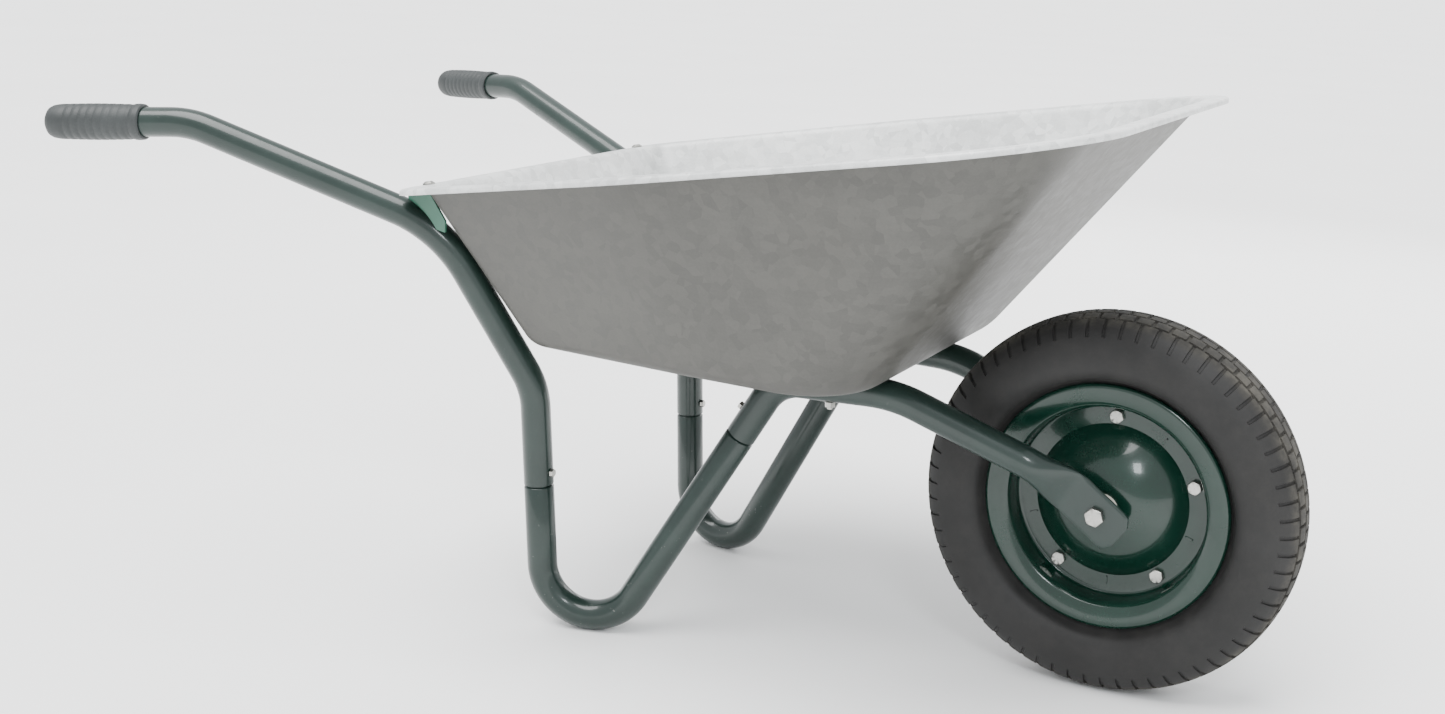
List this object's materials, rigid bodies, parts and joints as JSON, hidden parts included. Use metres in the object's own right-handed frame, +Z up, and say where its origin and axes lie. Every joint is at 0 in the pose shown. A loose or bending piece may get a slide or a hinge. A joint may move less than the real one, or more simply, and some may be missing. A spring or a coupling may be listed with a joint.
{
  "type": "wheelbarrow",
  "caption": "Garden wheelbarrow with a pressed metal pan, bent tubular frame with looped feet, and a bolted split-rim wheel with an air tyre.",
  "frame": {"origin": "on the ground, under the centre of the barrow's bounding box", "axes": "+X forward from the grips to the wheel, +Y to the barrow's left, +Z up; the wheel turns about Y"},
  "size_m": [1.2896, 0.7208, 0.5951],
  "materials": {
    "galvanised": "hot-dip galvanised sheet, dull grey with a faint spangle",
    "green_paint": "dark green gloss paint on steel",
    "tyre_rubber": "black tyre rubber with light dust",
    "black_rubber": "smooth black rubber",
    "grip_plastic": "dark grey moulded grip",
    "zinc": "bright zinc-plated fasteners",
    "nylon": "natural nylon bush"
  },
  "bodies": {
    "frame": {"handle_tube_right": "green_paint", "leg_loop_right": "green_paint", "fork_tube_right": "green_paint", "grip_right": "grip_plastic", "pan_bracket_right": "green_paint", "handle_tube_left": "green_paint", "leg_loop_left": "green_paint", "fork_tube_left": "green_paint", "grip_left": "grip_plastic", "pan_bracket_left": "green_paint", "pan": "galvanised", "pan_front_right_bolt": "zinc", "pan_front_right_nut": "zinc", "pan_rear_right_bolt": "zinc", "pan_rear_right_nut": "zinc", "leg_screw_right": "zinc", "fork_screw_right": "zinc", "pan_front_left_bolt": "zinc", "pan_front_left_nut": "zinc", "pan_rear_left_bolt": "zinc", "pan_rear_left_nut": "zinc", "leg_screw_left": "zinc", "fork_screw_left": "zinc", "axle_bolt": "zinc", "axle_nut": "zinc", "axle_washer": "zinc", "axle_spacer_right": "zinc", "axle_spacer_left": "zinc"},
    "wheel": {"tyre": "tyre_rubber", "inner_tube": "black_rubber", "valve_stem": "black_rubber", "valve_cap": "grip_plastic", "rim_half_right": "green_paint", "rim_half_left": "green_paint", "hub_tube": "green_paint", "wheel_bearing_right": "nylon", "wheel_bearing_left": "nylon", "rim_bolt_1": "zinc", "rim_bolt_2": "zinc", "rim_bolt_3": "zinc", "rim_bolt_4": "zinc", "rim_bolt_5": "zinc", "rim_nut_1": "zinc", "rim_nut_2": "zinc", "rim_nut_3": "zinc", "rim_nut_4": "zinc", "rim_nut_5": "zinc"}
  },
  "joints": [
    {"name": "wheel_spin", "type": "hinge", "parent": "frame", "child": "wheel", "pos_m": [0.4498, 0, 0.195], "axis": [0, 1, 0], "continuous": true}
  ]
}
